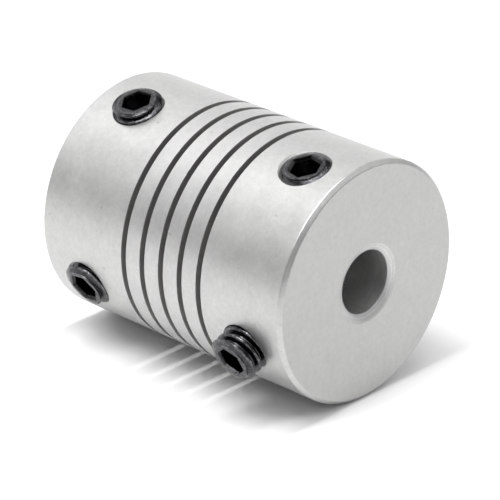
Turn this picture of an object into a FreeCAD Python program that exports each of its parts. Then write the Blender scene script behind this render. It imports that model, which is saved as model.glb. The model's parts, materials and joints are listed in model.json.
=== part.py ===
"""One-piece slit beam coupling, 19 mm across and 25 mm long, with four M4 set screws.

Millimetres. The shaft axis is X. The origin is the centre of the 5 mm bore's mouth, on the drive
end face, and the coupling runs from there towards -X. +Z is up. An angle about the axis is counted
by the right-hand rule about +X, from +Z.

The body is turned and sawn from one bar. It is written as the stiff pieces between the saw slits
(two hubs and four rings) and the webs that join them, because the webs are what bends.
"""

import FreeCAD, Part
import math
import os

# Body
BODY_DIA = 19.0
BODY_LENGTH = 25.0
END_CHAMFER = 0.3
DRIVE_BORE_DIA = 5.0
DRIVEN_BORE_DIA = 8.0
BORE_CHAMFER_RADIAL = 0.65
BORE_CHAMFER_DEPTH = 0.3

# Slits and the webs left between them
SLIT_COUNT = 5
SLIT_WIDTH = 0.5
SLIT_PITCH = 1.95
SLIT_GROUP_SHIFT = 0.35  # the middle slit's distance from mid-length, towards the drive end
SLIT_FLOOR = 7.5  # the saw stops at this distance past the axis
WEB_ANGLES = [198.0, 288.0]  # slits 1, 3 and 5, and slits 2 and 4
RELIEF_BORE_DIA = 9.0
RELIEF_RUN_OUT = 0.7  # how far the relief bore runs on past the outer slits

# Set screws, M4 x 5 with a hexagon socket and a cup point
SCREW_LENGTH = 5.0
SCREW_RADIUS = 1.95  # over the thread crests
SCREW_TOP_CHAMFER_RADIAL = 0.45
SCREW_TOP_CHAMFER_DEPTH = 0.2
CUP_RADIUS = 1.0
CUP_DEPTH = 0.5
SOCKET_ACROSS_FLATS = 2.0
SOCKET_DEPTH = 2.2
SOCKET_CONE = 0.5
HOLE_RADIUS = 2.0  # over the roots of the tapped hole's thread
TAP_DRILL_RADIUS = 1.62
TAP_LAND = 0.5  # the plain length between the thread and the bore

# Each screw's distance from its end face to its axis, its angle about the shaft axis, the height
# of its socket face above that axis, and its socket's turn. The four holes are drilled one by one,
# so a row is off its line by a degree or two.
SCREWS = {
    ("drive", "upper"): (3.85, 17.1, 9.55, 0.0),
    ("drive", "side"): (4.15, 112.0, 11.1, 10.0),
    ("driven", "upper"): (4.2, 18.8, 10.1, 5.0),
    ("driven", "side"): (4.15, 114.6, 10.0, 10.0),
}

RADIUS = BODY_DIA / 2
MIDDLE_SLIT_X = -BODY_LENGTH / 2 + SLIT_GROUP_SHIFT
SLIT_X = [MIDDLE_SLIT_X + SLIT_PITCH * (SLIT_COUNT // 2 - i) for i in range(SLIT_COUNT)]
AXIS = FreeCAD.Vector(1, 0, 0)
ORIGIN = FreeCAD.Vector(0, 0, 0)
OVERRUN = 1.0  # how far a cutting tool runs on past the stock


def outward(angle):
    """The radial direction at an angle about the axis."""
    a = math.radians(angle)
    return FreeCAD.Vector(0, -math.sin(a), math.cos(a))


def revolved(profile):
    """The solid that a closed outline of (x, radius) points sweeps about the axis."""
    points = [FreeCAD.Vector(x, 0, r) for x, r in profile]
    face = Part.Face(Part.makePolygon(points + points[:1]))
    return face.revolve(ORIGIN, AXIS, 360)


def radial_turned(profile, x, angle):
    """The solid that (distance from the axis, radius) points sweep about a screw's own axis."""
    direction = outward(angle)
    centre = FreeCAD.Vector(x, 0, 0)
    points = [centre + direction * h + AXIS * r for h, r in profile]
    face = Part.Face(Part.makePolygon(points + points[:1]))
    return face.revolve(centre, direction, 360)


def screw_x(end, place):
    """A screw's place along the axis."""
    inset = SCREWS[end, place][0]
    return -inset if end == "drive" else inset - BODY_LENGTH


def bore_radius(end):
    return (DRIVE_BORE_DIA if end == "drive" else DRIVEN_BORE_DIA) / 2


def tapped_hole(end, place):
    """A set screw's hole: the thread's envelope, closing to the tap drill's size at the bore."""
    angle = SCREWS[end, place][1]
    land_top = bore_radius(end) + TAP_LAND
    thread_start = land_top + HOLE_RADIUS - TAP_DRILL_RADIUS
    top = RADIUS + OVERRUN
    profile = [
        (0, 0),
        (0, TAP_DRILL_RADIUS),
        (land_top, TAP_DRILL_RADIUS),
        (thread_start, HOLE_RADIUS),
        (top, HOLE_RADIUS),
        (top, 0),
    ]
    return radial_turned(profile, screw_x(end, place), angle)


def hub(end):
    """One stiff end: turned outside, bored, with the relief bore's end and two tapped holes."""
    face_x = 0.0 if end == "drive" else -BODY_LENGTH
    inward = -1.0 if end == "drive" else 1.0
    nearest_slit = SLIT_X[0] if end == "drive" else SLIT_X[-1]
    root_x = nearest_slit - inward * SLIT_WIDTH / 2
    relief_x = root_x - inward * RELIEF_RUN_OUT
    bore = bore_radius(end)
    relief = RELIEF_BORE_DIA / 2
    profile = [
        (face_x, bore + BORE_CHAMFER_RADIAL),
        (face_x, RADIUS - END_CHAMFER),
        (face_x + inward * END_CHAMFER, RADIUS),
        (root_x, RADIUS),
        (root_x, relief),
        (relief_x, relief),
        (relief_x, bore),
        (face_x + inward * BORE_CHAMFER_DEPTH, bore),
    ]
    solid = revolved(profile)
    for place in ("upper", "side"):
        solid = solid.cut(tapped_hole(end, place))
    return solid


def ring(index):
    """The ring between slit number index and the next one."""
    near = SLIT_X[index] - SLIT_WIDTH / 2
    far = SLIT_X[index + 1] + SLIT_WIDTH / 2
    relief = RELIEF_BORE_DIA / 2
    return revolved([(near, relief), (near, RADIUS), (far, RADIUS), (far, relief)])


def web(index):
    """What the saw leaves at the bottom of a slit: a segment of the bar, one slit width thick."""
    start = FreeCAD.Vector(SLIT_X[index] - SLIT_WIDTH / 2, 0, 0)
    disc = Part.makeCylinder(RADIUS, SLIT_WIDTH, start, AXIS)
    saw_cut = Part.makeBox(SLIT_WIDTH + 2 * OVERRUN, BODY_DIA, BODY_DIA + SLIT_FLOOR)
    saw_cut.translate(FreeCAD.Vector(start.x - OVERRUN, -RADIUS, -BODY_DIA))
    saw_cut.rotate(ORIGIN, AXIS, WEB_ANGLES[index % 2])
    return disc.cut(saw_cut)


def hexagon_socket(top, x, angle, turn):
    """The key's hexagon, sunk from the socket face, with the drill point below it."""
    direction = outward(angle)
    side = direction.cross(AXIS)
    centre = FreeCAD.Vector(x, 0, 0)
    corner_radius = SOCKET_ACROSS_FLATS / math.sqrt(3)
    floor = centre + direction * (top - SOCKET_DEPTH)
    corners = []
    for i in range(6):
        a = math.radians(turn + 60 * i)
        corners.append(floor + (AXIS * math.cos(a) + side * math.sin(a)) * corner_radius)
    face = Part.Face(Part.makePolygon(corners + corners[:1]))
    prism = face.extrude(direction * (SOCKET_DEPTH + OVERRUN))
    drill_radius = SOCKET_ACROSS_FLATS / 2
    point = [
        (top - SOCKET_DEPTH - SOCKET_CONE, 0),
        (top - SOCKET_DEPTH, drill_radius),
        (top - SOCKET_DEPTH + SOCKET_CONE, drill_radius),
        (top - SOCKET_DEPTH + SOCKET_CONE, 0),
    ]
    return prism.fuse(radial_turned(point, x, angle))


def set_screw(end, place):
    """A headless screw with its socket outwards and its cup point towards the shaft."""
    _, angle, top, turn = SCREWS[end, place]
    x = screw_x(end, place)
    tip = top - SCREW_LENGTH
    profile = [
        (tip + CUP_DEPTH, 0),
        (tip, CUP_RADIUS),
        (tip + SCREW_RADIUS - CUP_RADIUS, SCREW_RADIUS),
        (top - SCREW_TOP_CHAMFER_DEPTH, SCREW_RADIUS),
        (top, SCREW_RADIUS - SCREW_TOP_CHAMFER_RADIAL),
        (top, 0),
    ]
    blank = radial_turned(profile, x, angle)
    return blank.cut(hexagon_socket(top, x, angle, turn))


def nodes():
    """Every piece by name."""
    made = {"hub_drive": hub("drive"), "hub_driven": hub("driven")}
    for i in range(SLIT_COUNT - 1):
        made[f"ring_{i + 1}"] = ring(i)
    for i in range(SLIT_COUNT):
        made[f"web_{i + 1}"] = web(i)
    for end, place in SCREWS:
        made[f"set_screw_{end}_{place}"] = set_screw(end, place)
    return made


os.makedirs("parts", exist_ok=True)
for name, shape in nodes().items():
    solids = shape.Solids
    if len(solids) != 1 or not solids[0].isValid():
        raise ValueError(f"{name} is not one valid solid")
    solids[0].exportStep(f"parts/{name}.step")
    print(f"{name}: {solids[0].Volume:.2f} mm3")
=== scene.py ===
"""The looks of a one-piece slit beam coupling and its set screws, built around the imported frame.

Shapes are worked out in millimetres and become metres when a piece is made. An angle about the
shaft axis is counted by the right-hand rule about +X, from +Z, as in the CAD.
"""

import json
import math

import bmesh
import bpy
import numpy as np
from mathutils import Matrix, Vector

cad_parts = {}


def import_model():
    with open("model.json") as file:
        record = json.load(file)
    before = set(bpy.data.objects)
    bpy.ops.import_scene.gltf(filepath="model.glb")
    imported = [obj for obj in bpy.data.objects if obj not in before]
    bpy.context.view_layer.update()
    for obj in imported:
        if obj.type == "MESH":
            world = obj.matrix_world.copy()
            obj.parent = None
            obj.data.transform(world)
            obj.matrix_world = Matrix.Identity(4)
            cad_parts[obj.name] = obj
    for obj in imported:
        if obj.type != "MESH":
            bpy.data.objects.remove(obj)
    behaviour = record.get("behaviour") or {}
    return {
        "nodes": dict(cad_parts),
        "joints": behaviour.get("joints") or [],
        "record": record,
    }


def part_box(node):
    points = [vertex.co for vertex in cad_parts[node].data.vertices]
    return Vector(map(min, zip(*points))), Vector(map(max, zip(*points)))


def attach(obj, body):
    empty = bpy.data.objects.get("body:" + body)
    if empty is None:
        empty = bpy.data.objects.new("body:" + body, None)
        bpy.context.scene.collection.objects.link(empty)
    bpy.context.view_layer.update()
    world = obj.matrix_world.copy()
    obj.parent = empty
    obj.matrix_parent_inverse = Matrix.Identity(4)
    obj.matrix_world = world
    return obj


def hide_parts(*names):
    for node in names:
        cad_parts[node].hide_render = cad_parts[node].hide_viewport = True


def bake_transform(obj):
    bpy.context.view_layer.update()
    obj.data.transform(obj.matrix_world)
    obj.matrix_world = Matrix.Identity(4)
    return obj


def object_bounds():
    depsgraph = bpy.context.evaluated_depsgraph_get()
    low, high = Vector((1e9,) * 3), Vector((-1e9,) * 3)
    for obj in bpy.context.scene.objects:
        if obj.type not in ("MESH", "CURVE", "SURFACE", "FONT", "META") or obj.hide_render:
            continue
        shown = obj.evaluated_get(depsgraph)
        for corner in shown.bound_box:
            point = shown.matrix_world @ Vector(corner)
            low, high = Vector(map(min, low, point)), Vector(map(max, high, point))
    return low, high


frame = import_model()
cad_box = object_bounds()

MM = 0.001
AXIS = Vector((1, 0, 0))
TURN = 2 * math.pi

# Body
END_CHAMFER = 0.3
BORE_CHAMFER_RADIAL = 0.65
BORE_CHAMFER_DEPTH = 0.3
RELIEF_RUN_OUT = 0.7
SLIT_COUNT = 5
SLIT_FLOOR = 7.5  # the saw stops at this distance past the axis
SLIT_EDGE_BREAK = 0.04
INNER_EDGE_BREAK = 0.04
CHAMFER_EDGE_EASE = 0.07
BREAK_FADE = 4.0  # degrees over which a slit's edge break fades in beside its web
BODY_COLUMNS = 360
SAME_POINT = 1e-5  # points nearer than this are one

# Tapped holes and set screws, M4
PITCH = 0.7
TAP_DRILL_RADIUS = 1.62
TAP_ROOT_RADIUS = 2.0
TAP_LAND = 0.5
HOLE_EDGE_BREAK = 0.04
TAP_CREST_FLAT = 0.03  # how much wider than its drill the tap leaves the hole's crests
TOOL_OVERRUN = 1.5  # how far the hole's tools run on past the skin
TOOL_OVERLAP = 0.1  # by how much tools overlap, so that no two of their faces coincide
SCREW_ROOT_RADIUS = 1.52
SCREW_CREST_RADIUS = 1.95
SCREW_TOP_CHAMFER_RADIAL = 0.45
SCREW_TOP_CHAMFER_DEPTH = 0.2
SCREW_TOP_EASE = 0.09
BLANK_CLEARANCE = 0.03  # how far outside the thread's crests the blank's side is
CUP_RADIUS = 1.0
CUP_DEPTH = 0.5
CUP_EDGE_EASE = 0.06
SOCKET_ACROSS_FLATS = 2.0
SOCKET_DEPTH = 2.2
SOCKET_CONE = 0.5
SOCKET_FLARE_DEPTH = 0.22
SOCKET_EDGE_EASE = 0.06
SCREW_ROOM = 0.1  # how far above the top of a screw, fully in, the hole's thread begins
ROOM_CLEARANCE = 0.005  # how far outside the thread's roots the plain part below it lies
THREAD_COLUMNS = 56
THREAD_ROWS = 14  # steps along one pitch of the thread's outline
CREST_EDGE = 0.07  # where the thread's flank ends, in pitches from the middle of the crest
ROOT_EDGE = 0.40  # where the flank meets the root

# How far each screw's socket and its thread are turned, in degrees, and how much the key has
# widened the socket's mouth
SCREW_STATES = {
    "drive_upper": (50.0, 170.0, 0.20),
    "drive_side": (42.0, 150.0, 0.10),
    "driven_upper": (5.0, 60.0, 0.10),
    "driven_side": (10.0, 100.0, 0.20),
}

# Metal: linear colours, and how far each kind of surface goes towards them or gets rougher
SATIN_DARK = (0.585, 0.585, 0.582, 1)
SATIN_LIGHT = (0.655, 0.655, 0.647, 1)
DULL_METAL = (0.30, 0.30, 0.29, 1)
SAWN_METAL = (0.50, 0.495, 0.485, 1)
# Painted highlight: the colour the turned grooves' lines are lightened to, as if they caught the
# light
PAINTED_HIGHLIGHT_COLOUR = (0.92, 0.92, 0.91, 1)
GRAIN_DULLING = 0.26
FACED_DULLING = 0.32
SPECK_DULLING = 0.5
# How far the turned grooves go towards the painted highlight colour
PAINTED_HIGHLIGHT_SHARE = 0.5
FACED_START, FACED_FULL = 0.03, 0.01  # how far inside an end face its look begins and is whole
SAWN_START, SAWN_FULL = 0.05, 0.15  # how far under the skin the sawn look begins and is whole
SAWN_FADE = 0.05  # how far before the outer slits' far walls it begins
SAWN_ROUGHENING = 0.22
TURNED_ROUGHENING = 0.06
TURNED_WITHIN = 3.0  # the bore and its chamfer are turned: what is nearer the axis than this
TURNED_FADE = 0.2
OXIDE_DARK = (0.026, 0.026, 0.029, 1)
OXIDE_LIGHT = (0.072, 0.070, 0.072, 1)
OXIDE_WORN = (0.22, 0.22, 0.23, 1)
WEAR_REACH = 0.12  # how far from a crest or a rim the wear runs

# Camera: degrees, and millimetres from the coupling's middle
VIEW_AZIMUTH = 43.66
VIEW_ELEVATION = 25.07
CAMERA_DISTANCE = 250.82
AIM_RIGHT = 0.35
AIM_UP = -1.209
LENS = 237.55
SENSOR = 36.0

# The set, in metres
BOX_DISTANCE = 8.0
BACKDROP_RADIUS = 1.2
FLOOR_HALF = 1.2
FLOOR_WHITE = (0.94, 0.94, 0.94, 1)

# Light: each soft box's name, azimuth, elevation, width and height in degrees, and radiance.
# The strip lies in the slits' own planes, so that it shines through them onto the floor.
ROOM_LIGHT = 0.03
SOFT_BOXES = [
    ("strip", 0.0, 90.0, 4.0, 56.0, 18.0),
    ("key", -12.0, 67.0, 10.0, 40.0, 17.0),
    ("key_right", 45.0, 65.0, 30.0, 30.0, 2.9),
    ("right", 95.0, 44.0, 56.0, 44.0, 0.71),
    ("left", -105.0, 40.0, 50.0, 50.0, 1.29),
    ("front_left", -60.0, 40.0, 50.0, 50.0, 0.66),
    ("low_left", -60.0, 12.0, 50.0, 50.0, 0.61),
    ("back_left", -150.0, 12.0, 50.0, 50.0, 1.15),
    ("back_right", 153.0, 32.0, 56.0, 50.0, 0.8),
]


# ---------------------------------------------------------------- the frame's own sizes


def node_points(node):
    """A CAD node's points in millimetres."""
    return [v.co / MM for v in frame["nodes"][node].data.vertices]


def node_span(node):
    """A CAD node's lowest and highest x in millimetres."""
    low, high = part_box(node)
    return low.x / MM, high.x / MM


def joint(name):
    return next(j for j in frame["joints"] if j["name"] == name)


def bore_radius(end):
    mount = next(m for m in frame["record"]["mounts"] if m["name"] == f"{end}_bore")
    return mount["dims"]["r_mm"]


def angle_of(point):
    """The angle about the shaft axis, in radians."""
    return math.atan2(-point[1], point[2])


ring_reach = [math.hypot(p.y, p.z) for p in node_points("ring_1")]
RADIUS = max(ring_reach)
RELIEF_RADIUS = min(ring_reach)
END_X = (node_span("hub_driven")[0], node_span("hub_drive")[1])
SAWN_X = (node_span("hub_driven")[1], node_span("hub_drive")[0])  # the outer slits' far walls
WEB_HALF_ANGLE = math.acos(SLIT_FLOOR / RADIUS)
WEB_ANGLES = [angle_of(joint(f"flexure_{i + 1}")["pos_m"]) for i in range(SLIT_COUNT)]


# ---------------------------------------------------------------- mesh helpers


def about_shaft(along, radius, angle):
    """A point by its x, its distance from the shaft axis and its angle."""
    return Vector((along, -radius * math.sin(angle), radius * math.cos(angle)))


def eased(outline, closed, steps=3):
    """An outline of (along, radius, ease) corners, each rounded off over its ease."""
    points = []
    last = len(outline) - 1
    for i, (along, radius, ease) in enumerate(outline):
        corner = Vector((along, radius))
        if not closed and i in (0, last):
            points.append(corner)
            continue
        before = Vector(outline[i - 1][:2]) - corner
        after = Vector(outline[(i + 1) % len(outline)][:2]) - corner
        start = corner + before.normalized() * ease
        end = corner + after.normalized() * ease
        for step in range(steps + 1):
            t = step / steps
            points.append(start * (1 - t) ** 2 + corner * 2 * t * (1 - t) + end * t * t)
    return points


def swept(outline_at, place, columns, closed=True):
    """A solid from one outline per column around an axis. An open outline ends on the axis."""
    bm = bmesh.new()
    grid = []
    for column in range(columns):
        angle = TURN * column / columns
        outline = eased(outline_at(angle), closed)
        grid.append([bm.verts.new(place(p.x, p.y, angle)) for p in outline])
    rows = len(grid[0])
    for column in range(columns):
        here, there = grid[column], grid[(column + 1) % columns]
        for row in range(rows if closed else rows - 1):
            after = (row + 1) % rows
            bm.faces.new((here[row], there[row], there[after], here[after]))
    return cleaned(bm)


def cleaned(bm):
    """Merges what coincides and turns every face outwards."""
    bmesh.ops.remove_doubles(bm, verts=bm.verts, dist=SAME_POINT)
    bmesh.ops.recalc_face_normals(bm, faces=bm.faces)
    return bm


def made(bm, name):
    """A mesh object from a bmesh in millimetres, which it frees."""
    mesh = bpy.data.meshes.new(name)
    bm.to_mesh(mesh)
    bm.free()
    mesh.transform(Matrix.Scale(MM, 4))
    obj = bpy.data.objects.new(name, mesh)
    bpy.context.scene.collection.objects.link(obj)
    return obj


def bake_modifiers(obj):
    """Replaces the object's mesh with what its modifiers make of it."""
    bpy.context.view_layer.update()
    evaluated = obj.evaluated_get(bpy.context.evaluated_depsgraph_get())
    mesh = bpy.data.meshes.new_from_object(evaluated)
    obj.modifiers.clear()
    obj.data = mesh


def cut(obj, operation, tools):
    """Applies one boolean operation with each tool in turn, and removes the tools."""
    for bm in tools:
        tool = made(bm, "tool")
        modifier = obj.modifiers.new("cut", "BOOLEAN")
        modifier.operation = operation
        modifier.solver = "MANIFOLD"
        modifier.object = tool
        bake_modifiers(obj)
        bpy.data.objects.remove(tool)


def shade(obj, sharp_degrees=32, on_skin=1e-6):
    """Smooth shading that keeps flat faces flat and makes the turned skin exactly round."""
    mesh = obj.data
    mesh.shade_smooth()
    mesh.set_sharp_from_angle(angle=math.radians(sharp_degrees))
    modifier = obj.modifiers.new("weighted", "WEIGHTED_NORMAL")
    modifier.keep_sharp = True
    bake_modifiers(obj)
    mesh = obj.data
    normals = [Vector(n.vector) for n in mesh.corner_normals]
    for polygon in mesh.polygons:
        points = [mesh.vertices[i].co for i in polygon.vertices]
        if all(abs(math.hypot(p.y, p.z) - RADIUS * MM) < on_skin for p in points):
            for loop, p in zip(polygon.loop_indices, points):
                normals[loop] = Vector((0, p.y, p.z)).normalized()
    mesh.normals_split_custom_set(normals)


# ---------------------------------------------------------------- the body


def edge_break(slit, angle):
    """How far a slit's edge is broken at an angle: nothing along the web."""
    away = abs((angle - WEB_ANGLES[slit] + math.pi) % TURN - math.pi) - WEB_HALF_ANGLE
    share = min(1.0, max(0.0, math.degrees(away) / BREAK_FADE))
    return SLIT_EDGE_BREAK * share


def hub_blank(end):
    """A hub as turned and bored, before it is drilled."""
    low, high = node_span(f"hub_{end}")
    if end == "drive":
        face_x, root_x, inward, slit = high, low, -1, 0
    else:
        face_x, root_x, inward, slit = low, high, 1, SLIT_COUNT - 1
    bore = bore_radius(end)
    relief_x = root_x - inward * RELIEF_RUN_OUT

    def outline(angle):
        return [
            (face_x, bore + BORE_CHAMFER_RADIAL, CHAMFER_EDGE_EASE),
            (face_x, RADIUS - END_CHAMFER, CHAMFER_EDGE_EASE),
            (face_x + inward * END_CHAMFER, RADIUS, CHAMFER_EDGE_EASE),
            (root_x, RADIUS, edge_break(slit, angle)),
            (root_x, RELIEF_RADIUS, INNER_EDGE_BREAK),
            (relief_x, RELIEF_RADIUS, INNER_EDGE_BREAK),
            (relief_x, bore, INNER_EDGE_BREAK),
            (face_x + inward * BORE_CHAMFER_DEPTH, bore, CHAMFER_EDGE_EASE),
        ]

    return swept(outline, about_shaft, BODY_COLUMNS)


def ring(index):
    """The ring between slit number index and the next one."""
    far, near = node_span(f"ring_{index + 1}")

    def outline(angle):
        return [
            (near, RELIEF_RADIUS, INNER_EDGE_BREAK),
            (near, RADIUS, edge_break(index, angle)),
            (far, RADIUS, edge_break(index + 1, angle)),
            (far, RELIEF_RADIUS, INNER_EDGE_BREAK),
        ]

    return swept(outline, about_shaft, BODY_COLUMNS)


def web(index, columns=76, rows=6):
    """A segment of the bar, one slit wide, in slices along x."""
    far, near = node_span(f"web_{index + 1}")
    bm = bmesh.new()
    slices = []
    for row in range(rows + 1):
        x = near + (far - near) * row / rows
        inner, outer = [], []
        for column in range(columns + 1):
            away = WEB_HALF_ANGLE * (2 * column / columns - 1)
            angle = WEB_ANGLES[index] + away
            floor_radius = SLIT_FLOOR / math.cos(away)
            outer.append(bm.verts.new(about_shaft(x, RADIUS, angle)))
            inner.append(bm.verts.new(about_shaft(x, floor_radius, angle)))
        slices.append((inner, outer))
    for (inner_a, outer_a), (inner_b, outer_b) in zip(slices, slices[1:]):
        for i in range(columns):
            bm.faces.new((outer_a[i], outer_a[i + 1], outer_b[i + 1], outer_b[i]))
            bm.faces.new((inner_a[i], inner_b[i], inner_b[i + 1], inner_a[i + 1]))
    for inner, outer in (slices[0], slices[-1]):
        for i in range(columns):
            bm.faces.new((inner[i], inner[i + 1], outer[i + 1], outer[i]))
    return cleaned(bm)


# ---------------------------------------------------------------- holes and screws


class Screw:
    """Where one set screw sits: its axis, its ends, and the turn of its socket and thread."""

    def __init__(self, name):
        self.name = name
        self.end = name.split("_")[0]
        self.out = Vector(joint(f"turn_{name}")["axis"])
        self.side = self.out.cross(AXIS)
        self.centre = AXIS * (sum(node_span(f"set_screw_{name}")) / 2)
        heights = [p.dot(self.out) for p in node_points(f"set_screw_{name}")]
        self.tip, self.top = min(heights), max(heights)
        self.deepest_top = self.top + joint(f"turn_{name}")["range_m"][0] / MM
        socket_turn, thread_turn, self.flare = SCREW_STATES[name]
        self.socket_turn = math.radians(socket_turn)
        self.crest_start = self.top + PITCH * thread_turn / 360

    def place(self, height, radius, angle):
        around = AXIS * math.cos(angle) + self.side * math.sin(angle)
        return self.centre + self.out * height + around * radius


def turned(place, outline, columns=96):
    """A solid turned about a screw's axis, from an open outline that starts and ends on it."""
    return swept(lambda angle: outline, place, columns, closed=False)


def thread(screw, root, crest, low, high):
    """A rod with a right-hand thread, which runs on past both heights."""
    bm = bmesh.new()
    step = PITCH / THREAD_ROWS
    first = math.floor((low - screw.crest_start) / step) - 2 * THREAD_ROWS
    rows = math.ceil((high - low) / step) + 4 * THREAD_ROWS
    grid = []
    for column in range(THREAD_COLUMNS):
        share = column / THREAD_COLUMNS
        verts = []
        for row in range(rows + 1):
            pitches = (first + row) / THREAD_ROWS
            away = abs(pitches - round(pitches))
            t = min(1.0, max(0.0, (away - CREST_EDGE) / (ROOT_EDGE - CREST_EDGE)))
            radius = crest - (crest - root) * t * t * (3 - 2 * t)
            height = screw.crest_start + PITCH * (pitches + share)
            verts.append(bm.verts.new(screw.place(height, radius, TURN * share)))
        grid.append(verts)
    for here, there in zip(grid, grid[1:]):
        for row in range(rows):
            bm.faces.new((here[row], there[row], there[row + 1], here[row + 1]))
    for row in range(rows - THREAD_ROWS):
        a, b = row + THREAD_ROWS, row + THREAD_ROWS + 1
        bm.faces.new((grid[-1][row], grid[0][a], grid[0][b], grid[-1][row + 1]))
    bottom = [column[0] for column in grid]
    bottom += [grid[0][row] for row in range(THREAD_ROWS, 0, -1)]
    top = [column[rows] for column in grid]
    top += [grid[-1][row] for row in range(rows - 1, rows - THREAD_ROWS - 1, -1)]
    lowest = screw.crest_start + PITCH * (first / THREAD_ROWS - 1)
    highest = screw.crest_start + PITCH * ((first + rows) / THREAD_ROWS + 2)
    for loop, height in ((bottom, lowest), (top, highest)):
        tip = bm.verts.new(screw.place(height, 0, 0))
        for a, b in zip(loop, loop[1:] + loop[:1]):
            bm.faces.new((a, b, tip))
    bmesh.ops.recalc_face_normals(bm, faces=bm.faces)
    return bm


def hole_edge(screw, columns=96):
    """The tool that breaks a tapped hole's edge by the same amount all round the curved skin."""
    depth, reach = 0.4, 0.6
    edge = TAP_ROOT_RADIUS + HOLE_EDGE_BREAK

    def place(lift, radius, angle):
        skin = math.sqrt(RADIUS**2 - (radius * math.sin(angle)) ** 2)
        return screw.place(skin + lift, radius, angle)

    outline = [(-depth, 0, 0), (-depth, edge - depth, 0), (reach, edge + reach, 0), (reach, 0, 0)]
    return swept(lambda angle: outline, place, columns, closed=False)


def tap(screw, land, top):
    """The tool that cuts a hole's thread: its lead, then the full thread up past the skin."""
    wide = TAP_ROOT_RADIUS + TOOL_OVERLAP
    reach = [
        (land - TOOL_OVERLAP, 0, 0),
        (land - TOOL_OVERLAP, TAP_DRILL_RADIUS - TOOL_OVERLAP, 0),
        (land + TAP_ROOT_RADIUS - TAP_DRILL_RADIUS, wide, 0),
        (top, wide, 0),
        (top, 0, 0),
    ]
    rod = thread(screw, TAP_DRILL_RADIUS + TAP_CREST_FLAT, TAP_ROOT_RADIUS, land, top)
    obj = made(rod, "tap")
    cut(obj, "INTERSECT", [turned(screw.place, reach)])
    bm = bmesh.new()
    bm.from_mesh(obj.data)
    bm.transform(Matrix.Scale(1 / MM, 4))
    bpy.data.objects.remove(obj)
    return bm


def screw_room(screw, land):
    """The tool that frees the hole of its thread below where the screw's top ever goes."""
    wide = TAP_ROOT_RADIUS + ROOM_CLEARANCE
    top = screw.deepest_top + SCREW_ROOM
    outline = [
        (land, 0, 0),
        (land, TAP_DRILL_RADIUS, 0),
        (land + wide - TAP_DRILL_RADIUS, wide, 0),
        (top, wide, 0),
        (top, 0, 0),
    ]
    return turned(screw.place, outline)


def hub(end):
    """A hub with its two tapped holes."""
    obj = made(hub_blank(end), f"hub_{end}")
    land = bore_radius(end) + TAP_LAND
    top = RADIUS + TOOL_OVERRUN
    drill = [(0, 0, 0), (0, TAP_DRILL_RADIUS, 0), (top, TAP_DRILL_RADIUS, 0), (top, 0, 0)]
    for screw in SCREWS:
        if screw.end == end:
            tools = [
                turned(screw.place, drill),
                tap(screw, land, top),
                screw_room(screw, land),
                hole_edge(screw),
            ]
            cut(obj, "DIFFERENCE", tools)
    return obj


def set_screw(screw):
    """A headless cup-point screw with a hexagon socket."""
    top, tip = screw.top, screw.tip
    over = SCREW_CREST_RADIUS + BLANK_CLEARANCE
    blank = [
        (tip + CUP_DEPTH, 0, 0),
        (tip, CUP_RADIUS, CUP_EDGE_EASE),
        (tip + SCREW_CREST_RADIUS - CUP_RADIUS, over, 0),
        (top - SCREW_TOP_CHAMFER_DEPTH, over, 0),
        (top, SCREW_CREST_RADIUS - SCREW_TOP_CHAMFER_RADIAL, SCREW_TOP_EASE),
        (top, 0, 0),
    ]
    corner = SOCKET_ACROSS_FLATS / math.sqrt(3)
    flat = SOCKET_ACROSS_FLATS / 2
    bottom = top - SOCKET_DEPTH
    hexagon = [
        (bottom, 0, 0),
        (bottom, corner, 0),
        (top - SOCKET_FLARE_DEPTH, corner, SOCKET_EDGE_EASE),
        (top, corner + screw.flare, 0),
        (top + TOOL_OVERRUN, corner + screw.flare, 0),
        (top + TOOL_OVERRUN, 0, 0),
    ]
    point = [
        (bottom - SOCKET_CONE, 0, 0),
        (bottom, flat, 0),
        (bottom + TOOL_OVERLAP, flat - TOOL_OVERLAP, 0),
        (bottom + TOOL_OVERLAP, 0, 0),
    ]

    def turned_place(height, radius, angle):
        return screw.place(height, radius, angle + screw.socket_turn)

    rod = thread(screw, SCREW_ROOT_RADIUS, SCREW_CREST_RADIUS, tip, top)
    obj = made(rod, f"set_screw_{screw.name}")
    cut(obj, "INTERSECT", [turned(screw.place, blank)])
    key = turned(turned_place, hexagon, columns=6)
    cut(obj, "DIFFERENCE", [key, turned(screw.place, point)])
    return obj


# ---------------------------------------------------------------- materials


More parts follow.
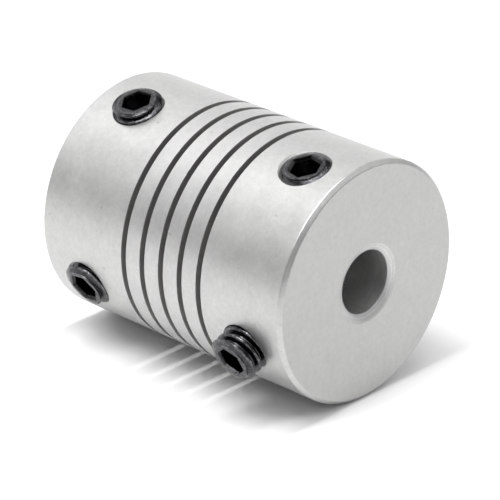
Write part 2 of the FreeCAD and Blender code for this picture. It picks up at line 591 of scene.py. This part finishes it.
class Graph:
    """A material's nodes. Each method adds one node and gives back what it puts out."""

    def __init__(self, name):
        self.material = bpy.data.materials.new(name)
        self.material.use_nodes = True
        self.nodes = self.material.node_tree.nodes
        self.links = self.material.node_tree.links
        self.shader = self.nodes["Principled BSDF"]

    def feed(self, socket, value):
        """Sets a socket to a number or a colour, or links it to another node."""
        if isinstance(value, (int, float, tuple)):
            socket.default_value = value
        else:
            self.links.new(value, socket)

    def add(self, kind, **inputs):
        """A node, with its named inputs fed. An underscore stands for a space."""
        node = self.nodes.new(kind)
        for name, value in inputs.items():
            self.feed(node.inputs[name.replace("_", " ")], value)
        return node

    def noise(self, place, scale, detail=4.0, roughness=0.55):
        inputs = {"Vector": place, "Scale": scale, "Detail": detail, "Roughness": roughness}
        return self.add("ShaderNodeTexNoise", **inputs).outputs["Fac"]

    def remap(self, value, low, high, to_low, to_high):
        inputs = {"From_Min": low, "From_Max": high, "To_Min": to_low, "To_Max": to_high}
        return self.add("ShaderNodeMapRange", Value=value, **inputs).outputs["Result"]

    def math(self, operation, a, b=None):
        node = self.nodes.new("ShaderNodeMath")
        node.operation = operation
        self.feed(node.inputs[0], a)
        if b is not None:
            self.feed(node.inputs[1], b)
        return node.outputs[0]

    def mix(self, share, a, b):
        """Colour a, going over to colour b by a share."""
        node = self.nodes.new("ShaderNodeMix")
        node.data_type = "RGBA"
        for value, socket in ((share, node.inputs[0]), (a, node.inputs[6]), (b, node.inputs[7])):
            self.feed(socket, value)
        return node.outputs[2]

    def plus(self, a, b, times):
        """A value and so many times another."""
        return self.math("ADD", a, self.math("MULTIPLY", b, times))

    def bump(self, height, strength, distance):
        inputs = {"Height": height, "Strength": strength, "Distance": distance}
        return self.add("ShaderNodeBump", **inputs).outputs["Normal"]


def aluminium():
    """Blasted and clear anodised aluminium, finely turned in the bore and on its chamfer, with a
    painted highlight along the turned grooves.
    """
    graph = Graph("satin_aluminium")
    place = graph.nodes.new("ShaderNodeTexCoord").outputs["Object"]
    x, y, z = graph.add("ShaderNodeSeparateXYZ", Vector=place).outputs
    squares = graph.math("ADD", graph.math("POWER", y, 2.0), graph.math("POWER", z, 2.0))
    radius = graph.math("SQRT", squares)

    # What the surface is: turned, faced on an end, or sawn
    turned_share = graph.remap(
        radius, (TURNED_WITHIN + TURNED_FADE) * MM, TURNED_WITHIN * MM, 0.0, 1.0
    )
    middle, half = sum(END_X) / 2, (END_X[1] - END_X[0]) / 2
    from_middle = graph.math("ABSOLUTE", graph.math("SUBTRACT", x, middle * MM))
    faced = graph.remap(
        from_middle, (half - FACED_START) * MM, (half - FACED_FULL) * MM, 0.0, FACED_DULLING
    )
    sawn = graph.remap(radius, (RADIUS - SAWN_START) * MM, (RADIUS - SAWN_FULL) * MM, 0.0, 1.0)
    for wall, inward in zip(SAWN_X, (1, -1)):
        past = graph.remap(x, (wall - inward * SAWN_FADE) * MM, wall * MM, 0.0, 1.0)
        sawn = graph.math("MULTIPLY", past, sawn)

    clouds = graph.noise(place, 420.0, 6.0, 0.62)
    blasted = graph.noise(place, 6500.0, 3.0, 0.6)
    mottled = graph.noise(place, 2200.0, 3.0, 0.6)
    fine = graph.noise(place, 26000.0, 1.0, 0.5)
    specks = graph.noise(place, 2300.0, 0.0, 0.5)
    stretched = graph.add("ShaderNodeMapping", Vector=place, Scale=(2600.0, 60.0, 60.0))
    streaks = graph.noise(stretched.outputs["Vector"], 1.0, 3.0)
    along = graph.add("ShaderNodeCombineXYZ", X=graph.math("SUBTRACT", radius, x))
    grooves = graph.noise(along.outputs["Vector"], 9000.0, 2.0, 0.7)
    grooves = graph.math("MULTIPLY", grooves, turned_share)

    base = graph.mix(graph.remap(clouds, 0.32, 0.68, 0.0, 1.0), SATIN_DARK, SATIN_LIGHT)
    grain = graph.math("ADD", blasted, mottled)
    base = graph.mix(graph.remap(grain, 0.7, 1.3, GRAIN_DULLING, 0.0), base, DULL_METAL)
    base = graph.mix(faced, base, DULL_METAL)
    base = graph.mix(graph.remap(specks, 0.845, 0.87, 0.0, SPECK_DULLING), base, DULL_METAL)
    base = graph.mix(sawn, base, SAWN_METAL)
    # Painted highlight: the turned grooves' lines are lightened in colour as if they caught the
    # light
    painted_highlight = graph.remap(grooves, 0.52, 0.66, 0.0, PAINTED_HIGHLIGHT_SHARE)
    graph.feed(graph.shader.inputs["Base Color"], graph.mix(painted_highlight, base, PAINTED_HIGHLIGHT_COLOUR))

    rough = graph.remap(clouds, 0.3, 0.7, 0.40, 0.47)
    rough = graph.plus(rough, sawn, SAWN_ROUGHENING)
    rough = graph.plus(rough, turned_share, TURNED_ROUGHENING)
    graph.feed(graph.shader.inputs["Roughness"], rough)
    graph.shader.inputs["Metallic"].default_value = 1.0

    height = graph.plus(blasted, fine, 0.5)
    height = graph.plus(height, streaks, 0.5)
    height = graph.plus(height, grooves, 3.0)
    graph.feed(graph.shader.inputs["Normal"], graph.bump(height, 0.5, 0.01 * MM))
    return graph.material


def black_oxide():
    """Oiled black oxide on steel, a little worn on the thread's crests and the top's edges."""
    graph = Graph("black_oxide_steel")
    place = graph.nodes.new("ShaderNodeTexCoord").outputs["Object"]
    clouds = graph.noise(place, 2200.0, 4.0, 0.65)
    lumps = graph.noise(place, 3200.0, 3.0, 0.6)
    grain = graph.noise(place, 14000.0, 2.0, 0.6)

    wear = graph.nodes.new("ShaderNodeAttribute")
    wear.attribute_name = "wear"
    patches = graph.remap(lumps, 0.42, 0.62, 0.1, 1.0)
    worn = graph.math("MULTIPLY", wear.outputs["Fac"], patches)
    base = graph.mix(graph.remap(clouds, 0.3, 0.7, 0.0, 1.0), OXIDE_DARK, OXIDE_LIGHT)
    graph.feed(graph.shader.inputs["Base Color"], graph.mix(worn, base, OXIDE_WORN))

    rough = graph.remap(clouds, 0.3, 0.7, 0.14, 0.28)
    graph.feed(graph.shader.inputs["Roughness"], rough)
    graph.shader.inputs["Metallic"].default_value = 1.0

    height = graph.plus(lumps, grain, 0.25)
    graph.feed(graph.shader.inputs["Normal"], graph.bump(height, 0.6, 0.06 * MM))
    return graph.material


def add_wear(obj, screw):
    """Marks how worn each point of a screw is: most on the thread's crests and the top's edges."""
    share = []
    for vertex in obj.data.vertices:
        point = vertex.co / MM - screw.centre
        height = point.dot(screw.out)
        radius = (point - screw.out * height).length
        crest = 1 + (radius - SCREW_CREST_RADIUS) / WEAR_REACH
        rim = 1 - abs(radius - SCREW_CREST_RADIUS + SCREW_TOP_CHAMFER_RADIAL) / WEAR_REACH
        rim -= (screw.top - height) / WEAR_REACH
        share.append(min(1.0, max(0.0, crest, rim)))
    attribute = obj.data.attributes.new("wear", "FLOAT", "POINT")
    attribute.data.foreach_set("value", np.array(share, np.float32))


def dress(obj, material):
    obj.data.materials.clear()
    obj.data.materials.append(material)


# ---------------------------------------------------------------- the set


def floor():
    """A plain pale surface, just under the coupling."""
    level = cad_box[0].z / MM
    half = FLOOR_HALF / MM
    bm = bmesh.new()
    corners = [(-half, -half), (half, -half), (half, half), (-half, half)]
    bm.faces.new([bm.verts.new((x, y, level)) for x, y in corners])
    obj = made(bm, "floor")
    graph = Graph("pale_floor")
    graph.shader.inputs["Base Color"].default_value = FLOOR_WHITE
    graph.shader.inputs["Roughness"].default_value = 0.6
    graph.shader.inputs["Specular IOR Level"].default_value = 0.2
    obj.data.materials.append(graph.material)


def backdrop():
    """A white dome far behind everything, which lights nothing."""
    bm = bmesh.new()
    bmesh.ops.create_uvsphere(bm, u_segments=48, v_segments=24, radius=BACKDROP_RADIUS / MM)
    obj = made(bm, "backdrop")
    graph = Graph("white_backdrop")
    graph.shader.inputs["Base Color"].default_value = (0, 0, 0, 1)
    graph.shader.inputs["Emission Color"].default_value = (1, 1, 1, 1)
    graph.shader.inputs["Emission Strength"].default_value = 1.0
    obj.data.materials.append(graph.material)
    obj.visible_diffuse = False
    obj.visible_glossy = False
    obj.visible_transmission = False
    obj.visible_shadow = False


def world():
    """A little light from everywhere."""
    room = bpy.data.worlds.new("studio")
    bpy.context.scene.world = room
    room.use_nodes = True
    background = room.node_tree.nodes["Background"]
    background.inputs["Color"].default_value = (1, 1, 1, 1)
    background.inputs["Strength"].default_value = ROOM_LIGHT


def soft_box(name, azimuth, elevation, width, height, radiance):
    """An oval soft box that faces the coupling and looks that many degrees wide and high from it.

    Azimuth 0 stands on the -Y side and 90 on the +X side.
    """
    a, e = math.radians(azimuth), math.radians(elevation)
    back = Vector((math.sin(a) * math.cos(e), -math.cos(a) * math.cos(e), math.sin(e)))
    light = bpy.data.lights.new(name, "AREA")
    light.shape = "ELLIPSE"
    light.size = 2 * BOX_DISTANCE * math.tan(math.radians(width / 2))
    light.size_y = 2 * BOX_DISTANCE * math.tan(math.radians(height / 2))
    area = math.pi / 4 * light.size * light.size_y
    light.energy = radiance * math.pi * area
    obj = bpy.data.objects.new(name, light)
    bpy.context.scene.collection.objects.link(obj)
    obj.location = (cad_box[0] + cad_box[1]) / 2 + back * BOX_DISTANCE
    obj.rotation_mode = "QUATERNION"
    obj.rotation_quaternion = (-back).to_track_quat("-Z", "Y")
    obj.visible_camera = False


def camera():
    """The photograph's own view of the coupling."""
    a, e = math.radians(VIEW_AZIMUTH), math.radians(VIEW_ELEVATION)
    right = Vector((math.cos(a), math.sin(a), 0))
    up = Vector((-math.sin(a) * math.sin(e), math.cos(a) * math.sin(e), math.cos(e)))
    back = right.cross(up)
    middle = AXIS * (sum(END_X) / 2)
    where = middle + right * AIM_RIGHT + up * AIM_UP + back * CAMERA_DISTANCE
    data = bpy.data.cameras.new("camera")
    data.sensor_width = SENSOR
    data.lens = LENS
    data.clip_start = 0.01
    data.clip_end = 20
    obj = bpy.data.objects.new("camera", data)
    bpy.context.scene.collection.objects.link(obj)
    turn = Matrix((right, up, back)).transposed().to_4x4()
    obj.matrix_world = Matrix.Translation(where * MM) @ turn
    bpy.context.scene.camera = obj
    bpy.context.scene.view_settings.view_transform = "Standard"


# ---------------------------------------------------------------- putting it together

camera()
floor()
backdrop()
world()
for light in SOFT_BOXES:
    soft_box(*light)

SCREWS = [Screw(name) for name in SCREW_STATES]
body_metal = aluminium()
screw_metal = black_oxide()

for end in ("drive", "driven"):
    piece = hub(end)
    shade(piece)
    dress(piece, body_metal)
    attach(piece, f"{end}_hub")
    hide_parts(f"hub_{end}")
    piece.name = f"{end}_hub_body"

for i in range(SLIT_COUNT - 1):
    piece = made(ring(i), f"ring_body_{i + 1}")
    shade(piece)
    dress(piece, body_metal)
    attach(piece, f"ring_{i + 1}")
    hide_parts(f"ring_{i + 1}")

for i in range(SLIT_COUNT):
    piece = made(web(i), f"web_body_{i + 1}")
    shade(piece)
    dress(piece, body_metal)
    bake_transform(piece)
    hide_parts(f"web_{i + 1}")

for screw in SCREWS:
    piece = set_screw(screw)
    shade(piece)
    dress(piece, screw_metal)
    add_wear(piece, screw)
    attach(piece, f"screw_{screw.name}")
    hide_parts(f"set_screw_{screw.name}")
    piece.name = f"screw_{screw.name}_body"
